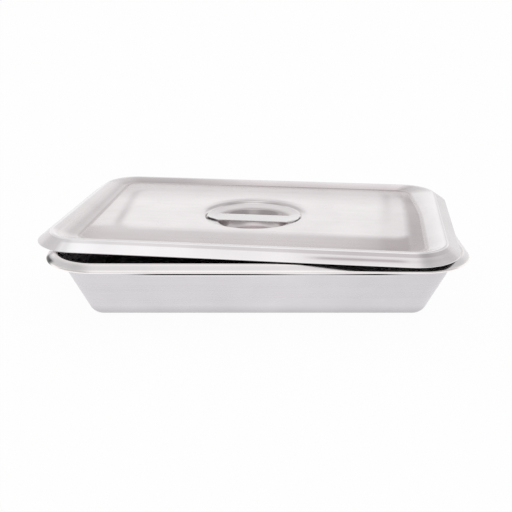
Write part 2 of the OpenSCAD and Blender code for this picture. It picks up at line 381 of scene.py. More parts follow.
def build_tray():
    """The pan as one closed sheet: outside, rounded lip and inside"""
    ring = Ring(*TRAY_HALF)
    sheet = Sheet()
    outside, inside = tray_face(0), tray_face(SHEET)
    floor_row = ring.rim(outside[0][0])
    for share in FLOOR_ROWS:
        sheet.add(floor_row * [share, share, 1], FLOOR_POLISH[0], around=False)
    for point, shine in outside:
        on_wall = point[0] < bead_c[0] - WALL_INSIDE
        sheet.add(ring.rim(point), shine, under_rim(ring, point[1]) if on_wall else 1.0)
    edge_c = lip_c + [LIP_BEND + EDGE_R, EDGE_R - LIP_DROP]
    for point in arc(edge_c, EDGE_R, 180, 360)[1:-1]:
        sheet.add(ring.rim(point), LIP_POLISH, rim_edge(ring, point))
    for point, shine in reversed(inside):
        sheet.add(ring.rim(point), shine, rim_edge(ring, point))
    floor_row = ring.rim(inside[0][0])
    for share in reversed(FLOOR_ROWS):
        sheet.add(floor_row * [share, share, 1], FLOOR_POLISH[1], around=False)
    lengths = ring.lengths(outside[len(outside) // 2][0])
    return mesh_object("tray_pressing", sheet, lengths, bounds=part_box("tray_pan"))


# Lid: centres of the bends, with the top of the panel at height 0
panel_r = PANEL_BEND + SHEET
panel_c = np.array([PANEL_CORNER, -panel_r])
border_start = panel_c + panel_r * unit(90 - BORDER_SLOPE)
border_end = border_start + BORDER_WIDTH * unit(-BORDER_SLOPE)
step_r = STEP_BEND + SHEET
step_c = border_end - step_r * unit(90 - BORDER_SLOPE)
step_end = step_c + step_r * unit(90 - STEP_SLOPE) + STEP_LENGTH * unit(-STEP_SLOPE)
groove_c = step_end + GROOVE_BEND * unit(90 - STEP_SLOPE)
groove_end = groove_c - GROOVE_BEND * unit(90 + INNER_SLOPE)
ridge_r = RIDGE_BEND + SHEET
ridge_start = ridge_r * unit(90 + INNER_SLOPE)
slope_slant = (RIDGE_RISE - ridge_r + ridge_start[1] - groove_end[1]) / math.sin(math.radians(INNER_SLOPE))
ridge_c = groove_end + slope_slant * unit(INNER_SLOPE) - ridge_start
skirt_top = ridge_c + ridge_r * unit(90 - SKIRT_SLOPE)
skirt_slant = (skirt_top[1] - RIDGE_RISE + SKIRT_DROP) / math.sin(math.radians(SKIRT_SLOPE))
skirt_edge = skirt_top + skirt_slant * unit(-SKIRT_SLOPE)
LID_HALF = (RIM_LENGTH / 2 + OVERHANG - skirt_edge[0], RIM_WIDTH / 2 + OVERHANG - skirt_edge[0])

# Recess: centres of the bends, as distance from its axis and height
dish_r = DISH_BEND + SHEET
dish_c = np.array([DISH_RADIUS, -dish_r])
dish_wall_top = dish_c + dish_r * unit(90 + DISH_SLOPE)
ledge_fillet_start = -LEDGE_BEND * unit(90 + DISH_SLOPE)
ledge_fillet_end = -LEDGE_BEND * unit(90 + LEDGE_SLOPE)
dish_drop = dish_wall_top[1] + LEDGE_DEPTH + ledge_fillet_end[1] - ledge_fillet_start[1]
dish_slant = dish_drop / math.sin(math.radians(DISH_SLOPE))
ledge_fillet_c = dish_wall_top - dish_slant * unit(DISH_SLOPE) - ledge_fillet_start
ledge_top = ledge_fillet_c + ledge_fillet_end
ledge_end = np.array([BOWL_RADIUS, ledge_top[1] - (ledge_top[0] - BOWL_RADIUS) * tan(LEDGE_SLOPE)])
bowl_edge_r = BOWL_EDGE_BEND + SHEET
bowl_edge_c = ledge_end - bowl_edge_r * unit(90 + LEDGE_SLOPE)
bowl_wall_top = bowl_edge_c + bowl_edge_r * unit(90 + BOWL_SLOPE)
bowl_fillet_start = -BOWL_FLOOR_BEND * unit(90 + BOWL_SLOPE)
bowl_drop = bowl_wall_top[1] + BOWL_DEPTH - BOWL_FLOOR_BEND - bowl_fillet_start[1]
bowl_slant = bowl_drop / math.sin(math.radians(BOWL_SLOPE))
bowl_fillet_c = bowl_wall_top - bowl_slant * unit(BOWL_SLOPE) - bowl_fillet_start

# Polish and painted shade of the parts of the recess from its middle out, darker down in the bowl
BOWL_FLOOR_LOOK = (0.25, 0.90)
BOWL_FILLET_LOOK = (0.25, 0.71)
BOWL_WALL_LOOK = (0.40, 0.60)
BOWL_EDGE_LOOK = (0.40, 0.62)
LEDGE_LOOK = (0.50, 1)
LEDGE_CORNER_LOOK = (0.50, 0.98)
DISH_LOOK = (0.50, 0.94)
# The bowl's painted shade is lighter towards the right and at the foot of its fillet, and darker higher up in
# the middle of the back, by shares of the bowl's radius and of the way up the fillet
BOWL_RIGHT, BOWL_RIGHT_RISE = (0.1, 0.6), 0.06
FILLET_FOOT, FILLET_FOOT_RISE = (0.25, 0.6), 0.16
FILLET_HEAD, FILLET_HEAD_WIDTH, FILLET_HEAD_DEPTH = (0.4, 0.7), 0.35, 0.13
# The edge at the back of the recess has a painted dark shade, less so in its middle, by shares of the
# recess's radius
SHADE_BACK = (0.0, 0.35)
SHADE_MIDDLE_X, SHADE_MIDDLE_WIDTH, SHADE_MIDDLE_SHARE = 0.05, 0.22, 0.45
# There, the ledge next to the bowl, the bend of the edge and a halo on the panel are painted dark. Right at
# the back, the painted halo lies further out and is wider.
LEDGE_SHADE_WIDTH, LEDGE_SHADE_DEPTH = 3.5, 0.30
DISH_SHADE_DEPTH = 0.24
HALO_OUT, HALO_WIDTH, HALO_WIDER, HALO_DEPTH = 2, 1, 2.8, 0.36


def recess_worn(ring):
    """How far the painted shade darkens the edge of the recess at each station"""
    x, y = ring.spoke.T
    return smooth(y, *SHADE_BACK) * (1 - SHADE_MIDDLE_SHARE * peak(x, SHADE_MIDDLE_X, SHADE_MIDDLE_WIDTH))


def recess_face(ring, depth):
    """One face of the recess's sheet from its middle out, with a polish and a painted shade at each point"""
    fillet = arc(bowl_fillet_c, BOWL_FLOOR_BEND + depth, 270, 270 + BOWL_SLOPE)
    edge = arc(bowl_edge_c, bowl_edge_r - depth, 90 + BOWL_SLOPE, 90 + LEDGE_SLOPE)
    corner = arc(ledge_fillet_c, LEDGE_BEND + depth, 270 + LEDGE_SLOPE, 270 + DISH_SLOPE)
    dish = arc(dish_c, dish_r - depth, 90 + DISH_SLOPE, 90)
    x, y = ring.spoke.T
    wear_and_shade = recess_worn(ring)
    light = BOWL_RIGHT_RISE * smooth(x, *BOWL_RIGHT)
    glare = FILLET_HEAD_DEPTH * peak(x, 0, FILLET_HEAD_WIDTH) * (y > 0)
    result = []

    def add(points, look, change=0):
        result.extend((p, look[0], look[1] + change) for p in points)

    add(between((0, fillet[0][1]), fillet[0]), BOWL_FLOOR_LOOK, light)
    for share, p in zip(np.linspace(0, 1, len(fillet)), fillet):
        foot, head = 1 - smooth(share, *FILLET_FOOT), smooth(share, *FILLET_HEAD)
        add([p], BOWL_FILLET_LOOK, light + FILLET_FOOT_RISE * foot - glare * head)
    add(between(fillet[-1], edge[0]), BOWL_WALL_LOOK, light)
    add(edge, BOWL_EDGE_LOOK)
    for p in between(edge[-1], corner[0], LEDGE_STEPS):
        near = 1 - smooth(p[0] - BOWL_RADIUS, 0, LEDGE_SHADE_WIDTH)
        add([p], LEDGE_LOOK, -LEDGE_SHADE_DEPTH * near * wear_and_shade)
    add(corner, LEDGE_CORNER_LOOK)
    add(between(corner[-1], dish[0]), DISH_LOOK)
    add(dish, DISH_LOOK, -DISH_SHADE_DEPTH * wear_and_shade)
    return result


# The worn crease round the border lies in from its place at the left, by so much at the front and at the
# back, and at the back right. It lies out at the back, by so much at the left and at the right, and is higher
# there.
CREASE_LEFT_IN = (7.8, 4.5)
CREASE_BACK_RIGHT = 7.5
CREASE_BACK_OUT = (3.0, 6.5)
CREASE_BACK_RISE = 1.0
# Where this comes in at the right and at the back, as shares of half the lid's width and length
CREASE_RIGHT_Y = (0, 1.3)
CREASE_BACK_X = (-1, 0)


def crease_shift(ring, distance):
    """How far a row near the crease lies from its place at each station: less and less up the slope"""
    x, y = (ring.base / LID_HALF).T
    slope_end = ridge_c[0] + ridge_start[0]
    share = np.clip((slope_end - distance) / (slope_end - groove_end[0]), 0, 1)
    to_right, to_back = (1 + x) / 2, (1 + y) / 2
    front_in, back_in = CREASE_LEFT_IN
    along = (1 - to_right) * (front_in + (back_in - front_in) * to_back)
    along = along - to_right * CREASE_BACK_RIGHT * smooth(y, *CREASE_RIGHT_Y)
    left_out, right_out = CREASE_BACK_OUT
    across = to_back * (left_out + (right_out - left_out) * smooth(x, *CREASE_BACK_X))
    return share * np.column_stack([along, across, CREASE_BACK_RISE * to_back ** 2])


# Worn sheet: the border round the panel is broad and soft, and its width differs from side to side.
# Each side has a width in millimetres, a painted shade of the border and a painted shade along its inner
# edge.
BORDER_SIDES = {
    "front": (27, 0.75, 0.02),
    "back": (20, 0.97, 0.04),
    "left": (20, 0.95, 0.34),
    "right": (11, 0.52, 0.00),
}
BORDER_SOFT = 0.12
BORDER_CORNER = 12
# The front border is wider at the left, the left one all along and more so at the front, and the right one
# at the back: by so much, and where, or for the left one by how much more to each millimetre forward
FRONT_WIDER, FRONT_WIDER_X = 4, (-125, -80)
LEFT_WIDER, LEFT_LEAN = 2.5, 0.113
RIGHT_WIDER, RIGHT_WIDER_Y = 1, (0, 90)
# Across the border, its painted shade comes in over a range of shares of its width, and the painted shade
# along its inner edge is so wide. Along it, that painted shade is at its strongest round one place.
BORDER_EDGE = (-0.30, 0.25)
EDGE_SHADE_WIDTH = 0.18
EDGE_SHADE_LEAST, EDGE_SHADE_Y, EDGE_SHADE_LENGTH = 0.65, -20, 18
# Painted darker places of the border: the right of its front, and its front left corner
FRONT_RIGHT, FRONT_RIGHT_DEPTH = (40, 125), 0.19
CORNER_X, CORNER_Y, CORNER_DEPTH = (-130, -88), (-54, -42), 0.26
# Painted darker places of the panel: a painted shade by the distance from the back edge, a soft painted dark
# band across the right, and the strip from there to the right border
BACK_SHADE_GAP, BACK_SHADE_DEPTH = (18, 58), 0.19
RIGHT_SHADE_X, RIGHT_SHADE_WIDTH, RIGHT_SHADE_DEPTH = 104.5, 3.5, 0.12
RIGHT_SHADE_FROM, RIGHT_SHADE_TO = (-30, 50), (62, 76)
PANEL_RIGHT, PANEL_RIGHT_DEPTH = (94, 103), 0.09
# Least weight of the sides, so that nothing is divided by 0
TINY = 1e-6


def panel_field(x, y):
    """Share of the fall from the panel to the border's outer edge, and the painted shade of the sheet"""
    half_x, half_y = (half + border_end[0] for half in LID_HALF)
    gaps = {
        "front": half_y + y - FRONT_WIDER * (1 - smooth(x, *FRONT_WIDER_X)),
        "back": half_y - y + CREASE_BACK_OUT[1] * smooth(x, -half_x, 0),
        "left": half_x + x - LEFT_WIDER + LEFT_LEAN * y,
        "right": half_x - x - RIGHT_WIDER * smooth(y, *RIGHT_WIDER_Y),
    }
    past = {}
    for side, gap in gaps.items():
        past[side] = np.maximum(BORDER_SIDES[side][0] + BORDER_CORNER - gap, 0) ** 2
    total = sum(past.values())
    weight = np.maximum(total, TINY)
    width, tone, smudge_and_shade = (
        sum(past[side] * BORDER_SIDES[side][i] for side in gaps) / weight for i in range(3)
    )
    share = np.where(total > 0, (np.sqrt(total) - BORDER_CORNER) / np.maximum(width, 1), -1)
    fall = BORDER_SOFT * np.log1p(np.exp(share / BORDER_SOFT))
    tone = tone - FRONT_RIGHT_DEPTH * (past["front"] / weight) * smooth(x, *FRONT_RIGHT)
    smudge_and_shade = smudge_and_shade * (EDGE_SHADE_LEAST + (1 - EDGE_SHADE_LEAST) * peak(y, EDGE_SHADE_Y, EDGE_SHADE_LENGTH))
    shade = 1 - (1 - tone) * smooth(share, *BORDER_EDGE) - smudge_and_shade * peak(share, 0, EDGE_SHADE_WIDTH)
    shade = np.where(total > 0, shade, 1) * (1 - BACK_SHADE_DEPTH * (1 - smooth(gaps["back"], *BACK_SHADE_GAP)))
    painted_dark = peak(x, RIGHT_SHADE_X, RIGHT_SHADE_WIDTH) * within(y, RIGHT_SHADE_FROM, RIGHT_SHADE_TO)
    beyond = smooth(x, *PANEL_RIGHT) * (gaps["right"] > BORDER_SIDES["right"][0])
    corner = (1 - smooth(x, *CORNER_X)) * (1 - smooth(y, *CORNER_Y))
    shade = shade - RIGHT_SHADE_DEPTH * painted_dark - PANEL_RIGHT_DEPTH * beyond - CORNER_DEPTH * corner
    return np.clip(fall, 0, 1), shade


# Slope between crease and ridge, by side: its polish, and the painted shades at its foot, at its head and in
# the crease
SLOPE_SIDES = {
    "right": (0.7, 0.86, 1.05, 0.80),
    "back": (0.6, 0.57, 0.74, 0.84),
    "left": (0.35, 0.86, 1.04, 0.68),
    "front": (0.5, 1, 1, 1),
}
# Painted shade band along the left slope, by the share of the way up
SLOPE_SHADE, SLOPE_SHADE_WIDTH, SLOPE_SHADE_DEPTH = 0.35, 0.22, 0.15
CREASE_POLISH = 0.25
RIDGE_POLISH = 0.95
# The skirt is more polished at the front. Its painted light and shade falls in stretches from left to right.
SKIRT_POLISH, SKIRT_FRONT_POLISH = 0.75, 0.25
SKIRT_SHADE = 1.13
SKIRT_FALLS = [(0.09, (-LID_HALF[0], -95)), (0.17, (-110, 20)), (0.10, (20, 80))]
# The left of the skirt has a darker painted shade from where it turns to the left, by the share that it faces
# there, and less so at the back
LEFT_TURN, LEFT_DEPTH = (0.06, 0.15), 0.32
LEFT_BACK, LEFT_BACK_RISE = (-LID_HALF[1], -30), 0.05
# A darker painted band at the top of the front, by shares of the way down: it is wider at the right
BAND_END, BAND_WIDER, BAND_SOFT, BAND_DEPTH = 0.22, 0.07, 0.06, 0.22
BAND_WIDER_X = (-100, 100)
# A painted dark streak on the right of the front, by the share of the way down and from where to where along
# it
STREAK, STREAK_WIDTH, STREAK_DEPTH = 0.62, 0.12, 0.34
STREAK_FROM, STREAK_TO = (42, 62), (108, 124)


def border_face(ring, depth):
    """One face of the lid's sheet from the border out, with a polish and a painted shade at each point"""
    step = arc(step_c, step_r - depth, 90 - BORDER_SLOPE, 90 - STEP_SLOPE)
    groove = arc(groove_c, GROOVE_BEND + depth, 270 - STEP_SLOPE, 270 + INNER_SLOPE)
    ridge = arc(ridge_c, ridge_r - depth, 90 + INNER_SLOPE, 90 - SKIRT_SLOPE, 2 * BEND_STEPS)
    edge = skirt_edge - depth * unit(90 - SKIRT_SLOPE) - EDGE_R * unit(-SKIRT_SLOPE)
    slope = between(groove[-1], ridge[0], INNER_STEPS)
    skirt = between(ridge[-1], edge, SKIRT_STEPS) + [edge]
    polish, foot, head, crease = (
        sum(getattr(ring, side) * values[i] for side, values in SLOPE_SIDES.items()) for i in range(4)
    )
    result = [(p, CREASE_POLISH, crease) for p in step + groove]
    for i, p in enumerate(slope):
        share = (i + 1) / len(slope)
        wear_and_shade = SLOPE_SHADE_DEPTH * ring.left * peak(share, SLOPE_SHADE, SLOPE_SHADE_WIDTH)
        result.append((p, polish, foot + (head - foot) * share - wear_and_shade))
    result += [(p, RIDGE_POLISH, 1.0) for p in ridge]
    along, across = ring.base.T
    at_left = smooth(ring.left, *LEFT_TURN)
    tone = SKIRT_SHADE - sum(fall * smooth(along, *stretch) for fall, stretch in SKIRT_FALLS)
    tone = tone - (LEFT_DEPTH - LEFT_BACK_RISE * smooth(across, *LEFT_BACK)) * at_left
    band_end = BAND_END + BAND_WIDER * smooth(along, *BAND_WIDER_X)
    run = within(along, STREAK_FROM, STREAK_TO) * ring.front
    shine = SKIRT_POLISH + SKIRT_FRONT_POLISH * ring.front
    for i, p in enumerate(skirt):
        share = (i + 1) / len(skirt)
        streak = STREAK_DEPTH * peak(share, STREAK, STREAK_WIDTH) * run
        band = BAND_DEPTH * (1 - smooth(share, band_end, band_end + BAND_SOFT)) * ring.front * (1 - at_left)
        result.append((p, shine, tone - streak - band))
    return result


# Panel: its polish and how much duller the border is, and the shares of the way out over which its fall
# comes in and it meets the border's outer edge
PANEL_POLISH, BORDER_DULLER = 0.45, 0.25
PANEL_FALL = (0, 0.08)
PANEL_MEET = (0.90, 1.0)
# Underside of the lid: share of the polish above it, and its painted shade, darker so that the hollow under
# the lid stays dark
UNDERSIDE_POLISH, UNDERSIDE_SHADE = 0.6, 0.8


def lid_pose(points):
    """The lid's place: its highest point meets the top of the frame's lid"""
    turn = Euler([math.radians(a) for a in (LID_PITCH, LID_ROLL, LID_TURN)], "XYZ").to_matrix()
    height = (points * MM @ np.array(turn).T)[:, 2].max()
    place = Vector((LID_SHIFT[0] * MM, LID_SHIFT[1] * MM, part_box("lid_cover")[1].z - height))
    return Matrix.Translation(place) @ turn.to_4x4()


def lid_rows(ring, depth):
    """Rows of one face of the lid from the middle of its recess to the skirt's edge"""
    shift = np.array([RECESS_X, RECESS_Y, 0])
    recess = recess_face(ring, depth)
    result = [(ring.circle(p) + shift, shine, shade, False) for p, shine, shade in recess]
    inner = result[-1][0]
    moved = crease_shift(ring, border_end[0])
    outer = ring.rim(border_end - [0, depth]) + moved
    wear_and_shade = recess_worn(ring)
    behind = np.maximum(ring.spoke[:, 1], 0)
    for share in 1 - (1 - np.linspace(0, 1, PANEL_STEPS + 1)[1:-1]) ** PANEL_CROWD:
        row = inner + (outer - inner) * share
        fall, shade = panel_field(row[:, 0], row[:, 1])
        away = np.linalg.norm(row[:, :2] - shift[:2], axis=1) - DISH_RADIUS
        # Painted dark halo on the panel round the back of the recess
        halo = peak(away, HALO_OUT * behind, HALO_WIDTH + HALO_WIDER * behind)
        fall = fall * smooth(share, *PANEL_FALL)
        meet = smooth(share, *PANEL_MEET)
        row[:, 2] = (border_end[1] + moved[:, 2]) * (fall + (1 - fall) * meet) - depth
        result.append((row, PANEL_POLISH - BORDER_DULLER * fall, shade - HALO_DEPTH * wear_and_shade * halo, False))
    for p, shine, shade in border_face(ring, depth):
        result.append((ring.rim(p) + crease_shift(ring, p[0]), shine, shade, p[0] > groove_c[0]))
    return result


def build_lid():
    """The lid as one closed sheet: recess, panel, border, ridge and skirt, and the same underneath"""
    ring = Ring(*LID_HALF)
    sheet = Sheet()
    for row, shine, shade, around in lid_rows(ring, 0):
        sheet.add(row, shine, shade, around)
    middle = skirt_edge - EDGE_R * unit(90 - SKIRT_SLOPE) - EDGE_R * unit(-SKIRT_SLOPE)
    for point in arc(middle, EDGE_R, 90 - SKIRT_SLOPE, -90 - SKIRT_SLOPE)[1:-1]:
        sheet.add(ring.rim(point), 1.0)
    for row, shine, _, around in reversed(lid_rows(ring, SHEET)):
        sheet.add(row, UNDERSIDE_POLISH * shine, UNDERSIDE_SHADE, around)
    pose = lid_pose(np.concatenate(sheet.rows))
    lid = mesh_object("lid_pressing", sheet, ring.lengths(ridge_c), pose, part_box("lid_cover"))
    return lid, pose


# Strap: it lies along the ledge and runs level over the bowl
strap_reach = ledge_top[0] - STRAP_END_GAP
strap_c = ledge_end + (WELD_GAP + STRAP_THICK + STRAP_BEND) * unit(90 + LEDGE_SLOPE)
STRAP_POLISH = 0.9
# Its edges have a little painted light along the middle and a painted shadow at both ends, by the distance
# from its middle to the left and to the right. The upper edge has a share of that, over so many degrees of
# its rounding.
STRAP_EDGE_RISE, STRAP_END_DEPTH = 0.2, 1.15
STRAP_LEFT_END, STRAP_RIGHT_END = (26, 30), (32, 36)
UPPER_EDGE_SHARE, UPPER_EDGE_TURN = 0.5, (60, 90)


def strap_height(distance, height):
    """Height of a face of the strap at a distance from the recess's axis"""
    radius = STRAP_BEND + STRAP_THICK - height
    bend_sin = unit(LEDGE_SLOPE)[1]
    past = np.clip(distance - strap_c[0], 0, radius * bend_sin)
    bent = strap_c[1] - np.sqrt(radius ** 2 - past ** 2)
    return bent + np.maximum(distance - strap_c[0] - radius * bend_sin, 0) * tan(LEDGE_SLOPE)


def strap_outline(inset):
    """The strap seen from above, drawn in by an inset: two round ends joined by straight sides"""
    reach = strap_reach - inset
    corner = STRAP_CORNER - inset
    corner_y = STRAP_WIDTH / 2 - STRAP_CORNER
    corner_x = math.sqrt((strap_reach - STRAP_CORNER) ** 2 - corner_y ** 2)
    turn = math.degrees(math.atan2(corner_y, corner_x))
    lower = arc(np.array([corner_x, -corner_y]), corner, -90, -turn)
    tip = arc(np.zeros(2), reach, -turn, turn, 2 * BEND_STEPS)[1:-1]
    upper = arc(np.array([corner_x, corner_y]), corner, turn, 90)
    side = between(upper[-1], upper[-1] * [-1, 1], LONG_STEPS)
    half = lower + tip + upper + side
    return np.array(half + [-p for p in half])


def build_strap(pose):
    """The strap as one closed band with rounded edges, with a painted shadow along the edges of its ends"""
    sheet = Sheet()
    inner = strap_outline(STRAP_EDGE)
    angles = np.linspace(0, 90, STRAP_EDGE_STEPS + 1)

    def add(outline, height, narrow=1.0, wear_and_shade=0.0):
        flat = outline * [1, narrow]
        z = strap_height(np.hypot(flat[:, 0], flat[:, 1]), height)
        at_end = smooth(-flat[:, 0], *STRAP_LEFT_END) + smooth(flat[:, 0], *STRAP_RIGHT_END)
        shade = 1 + wear_and_shade * (STRAP_EDGE_RISE - STRAP_END_DEPTH * at_end)
        sheet.add(np.column_stack([flat, z]), STRAP_POLISH, shade, around=False)

    def add_edge(angle, height, sense, wear_and_shade):
        from_face, in_from_side = STRAP_EDGE * (1 - unit(angle))
        add(strap_outline(in_from_side), height + sense * from_face, wear_and_shade=wear_and_shade)

    for narrow in STRAP_ROWS:
        add(inner, STRAP_THICK, narrow)
    for angle in angles:
        add_edge(angle, STRAP_THICK, -1, UPPER_EDGE_SHARE * smooth(angle, *UPPER_EDGE_TURN))
    for angle in reversed(angles):
        add_edge(angle, 0, 1, 1.0)
    for narrow in reversed(STRAP_ROWS):
        add(inner, 0, narrow)
    place = pose @ Matrix.Translation((RECESS_X * MM, RECESS_Y * MM, 0))
    no_lengths = np.zeros(len(inner) + 1)
    return mesh_object("handle_band", sheet, no_lengths, place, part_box("handle_strap"), seam=True)


# Materials: brushed sheet that is polished where its polish attribute is high
class Shader:
    """Short calls to add nodes to one material or world and to link them"""

    def __init__(self, tree):
        self.tree = tree
        tree.nodes.clear()

    def add(self, kind, settings=None, **inputs):
        made = self.tree.nodes.new("ShaderNode" + kind)
        for key, value in (settings or {}).items():
            setattr(made, key, value)
        for key, value in inputs.items():
            self.put(made, key.replace("_", " "), value)
        return made

    def put(self, made, key, value):
        socket = made.inputs[int(key)] if key.isdigit() else made.inputs[key]
        if isinstance(value, bpy.types.NodeSocket):
            self.tree.links.new(value, socket)
        else:
            socket.default_value = value

    def math(self, operation, first, second=0.0, third=0.0):
        made = self.add("Math", {"operation": operation})
        for i, value in enumerate((first, second, third)):
            self.put(made, str(i), value)
        return made.outputs[0]

    def mix(self, factor, first, second, clamp=True):
        """A colour between two"""
        made = self.add("Mix", {"data_type": "RGBA", "clamp_factor": clamp})
        for key, value in (("0", factor), ("6", first), ("7", second)):
            self.put(made, key, value)
        return made.outputs[2]

    def noise(self, vector, scale, detail=3.0, roughness=0.5):
        made = self.add("TexNoise", Vector=vector, Scale=scale, Detail=detail, Roughness=roughness)
        return made.outputs["Fac"]

    def stretch(self, vector, waves):
        """A grain coordinate with so many waves to the metre along and across the grain"""
        made = self.add("Mapping", Vector=vector)
        made.inputs["Scale"].default_value = (*waves, 1)
        return made.outputs["Vector"]

    def span(self, value, low, high, to_low=0.0, to_high=1.0, soft=False):
        """A value carried from one range to another and kept inside it"""
        kind = "SMOOTHSTEP" if soft else "LINEAR"
        made = self.add("MapRange", {"interpolation_type": kind}, Value=value)
        made.inputs["From Min"].default_value = low
        made.inputs["From Max"].default_value = high
        made.inputs["To Min"].default_value = to_low
        made.inputs["To Max"].default_value = to_high
        return made.outputs["Result"]


# Steel: waves to the metre of its grain and of its scratches, along and across them, the turn of the
# scratches in degrees and the range of the noise that shows as one
FINE_GRAIN = (10, 1100)
BROAD_GRAIN = (5, 300)
SCRATCHES = (16, 900)
SCRATCH_TURN = 37
SCRATCH_SEEN = (0.74, 0.78)
# Waves to the metre of its clouds, smudges and ripples, and the range of the noise that shows as a smudge
CLOUDS = 26.0
SMUDGES = 60.0
SMUDGE_SEEN = (0.52, 0.72)
RIPPLES = 14.0
# How far these change the tone: both grains up and down, the clouds between two levels, the scratches up
FINE_TONE, BROAD_TONE = 0.08, 0.16
CLOUD_TONE = (0.91, 1.09)
SCRATCH_TONE = 0.02
# How far they change the roughness, and how deep the scratches are against the fine grain
BROAD_ROUGH, SMUDGE_ROUGH = 0.10, 0.04
SCRATCH_DEEP = -0.3
# Edges with a pointiness in a range are worn brighter, by up to a share of their polish
WORN_EDGE, WORN_SHINE = (0.52, 0.60), 0.30
# Strength of the bump and its height in metres, for the grain and for the ripples of the sheet, and how far
# the grain spreads reflections across itself
GRAIN_BUMP = (0.3, 0.000002)
RIPPLE_BUMP = (0.35, 0.0002)
GRAIN_SPREAD = 0.4


def new_material(name):
    """An empty material, and the calls that fill it"""
    material = bpy.data.materials.new(name)
    material.use_nodes = True
    return material, Shader(material.node_tree)


def steel(name, satin_tone, bright_tone, painted_dark, satin, shine, brushed):
    """Brushed steel: colour and roughness run from satin to bright with the polish, with streaks along
    the grain, soft clouds, smudges, faint scratches and brighter worn edges"""
    material, s = new_material(name)
    grain = s.add("UVMap", {"uv_map": "grain"}).outputs["UV"]
    place = s.add("TexCoord").outputs["Object"]
    polish = s.add("Attribute", {"attribute_name": "polish"}).outputs["Fac"]
    shade = s.add("Attribute", {"attribute_name": "shade"}).outputs["Fac"]
    wear_and_shade = s.span(s.add("NewGeometry").outputs["Pointiness"], *WORN_EDGE, 0.0, WORN_SHINE)
    gloss = s.math("MULTIPLY_ADD", wear_and_shade, polish, polish)
    matt = s.math("SUBTRACT", 1.0, polish)
    fine = s.noise(s.stretch(grain, FINE_GRAIN), 1.0, 2.0)
    broad = s.noise(s.stretch(grain, BROAD_GRAIN), 1.0, 3.0)
    cloud = s.noise(place, CLOUDS, 3.0)
    smudge_and_shade = s.span(s.noise(place, SMUDGES, 4.0, 0.6), *SMUDGE_SEEN, soft=True)
    cross = s.add("Mapping", Vector=grain)
    cross.inputs["Rotation"].default_value = (0, 0, math.radians(SCRATCH_TURN))
    marks = s.span(s.noise(s.stretch(cross.outputs["Vector"], SCRATCHES), 1.0, 1.0), *SCRATCH_SEEN)
    fine_streak = s.span(fine, 0.0, 1.0, -FINE_TONE, FINE_TONE)
    broad_streak = s.span(broad, 0.0, 1.0, -BROAD_TONE, BROAD_TONE)
    streak = s.math("ADD", fine_streak, broad_streak)
    level = s.math("MULTIPLY", s.math("MULTIPLY", streak, matt), brushed)
    level = s.math("ADD", level, s.span(cloud, 0.0, 1.0, *CLOUD_TONE))
    level = s.math("MULTIPLY_ADD", marks, SCRATCH_TONE, level)
    clean = s.mix(gloss, (*satin_tone, 1), (*bright_tone, 1))
    toned = s.add("VectorMath", {"operation": "SCALE"})
    # The shade attribute is painted light and shade: below 1 it darkens the colour towards the dark tone,
    # above 1 it lightens it past the clean colour
    s.put(toned, "0", s.mix(shade, (*painted_dark, 1), clean, clamp=False))
    s.put(toned, "Scale", level)
    rough = s.span(gloss, 0.0, 1.0, satin, shine)
    rough = s.math("MULTIPLY_ADD", s.math("SUBTRACT", broad, 0.5), BROAD_ROUGH, rough)
    rough = s.math("MULTIPLY_ADD", smudge_and_shade, SMUDGE_ROUGH, rough)
    height = s.math("MULTIPLY", s.math("MULTIPLY_ADD", marks, SCRATCH_DEEP, fine), matt)
    bump = s.add("Bump", Strength=GRAIN_BUMP[0], Distance=GRAIN_BUMP[1], Height=height)
    waves = s.noise(place, RIPPLES, 1.0)
    ripple = s.add("Bump", Strength=RIPPLE_BUMP[0], Distance=RIPPLE_BUMP[1], Height=waves)
    s.put(bump, "Normal", ripple.outputs["Normal"])
    tangent = s.add("Tangent", {"direction_type": "UV_MAP", "uv_map": "grain"})
    surface = s.add("BsdfPrincipled", Metallic=1.0, Anisotropic=GRAIN_SPREAD)
    s.put(surface, "Base Color", toned.outputs[0])
    s.put(surface, "Roughness", rough)
    s.put(surface, "Normal", bump.outputs["Normal"])
    s.put(surface, "Tangent", tangent.outputs["Tangent"])
    s.put(s.add("OutputMaterial"), "Surface", surface.outputs["BSDF"])
    return material


# Welds: two tones of their clouds, the clouds' and the grain's waves to the metre, the roughness from the
# clouds, and the strength and height of the bump
WELD_TONES = (0.50, 0.47, 0.43, 1), (0.60, 0.60, 0.62, 1)
WELD_CLOUDS, WELD_GRAIN = 700.0, 2600.0
WELD_CLOUD_RANGE, WELD_ROUGH = (0.3, 0.7), (0.35, 0.55)
WELD_BUMP = (0.4, 0.00005)


def weld_metal():
    """Fused spot welds: greyer than the sheet, with a fine grainy surface and heat-tinted clouds"""
    material, s = new_material("weld_metal")
    place = s.add("TexCoord").outputs["Object"]
    cloud = s.noise(place, WELD_CLOUDS, 3.0)
    grains = s.noise(place, WELD_GRAIN, 4.0)
    bump = s.add("Bump", Strength=WELD_BUMP[0], Distance=WELD_BUMP[1], Height=grains)
    surface = s.add("BsdfPrincipled", Metallic=1.0)
    s.put(surface, "Base Color", s.mix(cloud, *WELD_TONES))
    s.put(surface, "Roughness", s.span(cloud, *WELD_CLOUD_RANGE, *WELD_ROUGH))
    s.put(surface, "Normal", bump.outputs["Normal"])
    s.put(s.add("OutputMaterial"), "Surface", surface.outputs["BSDF"])
    return material


# Stage: a white floor that keeps the shadow, soft studio surroundings and an overhead soft light
FLOOR_SIZE = 30.0
FLOOR_WHITE = 0.96
FLOOR_PAPER = (0.95, 0.95, 0.95, 1)
LAMP_SIZE = 1.5
LAMP_PLACE = (-0.15, -0.10, 1.7)
LAMP_POWER = 0.4

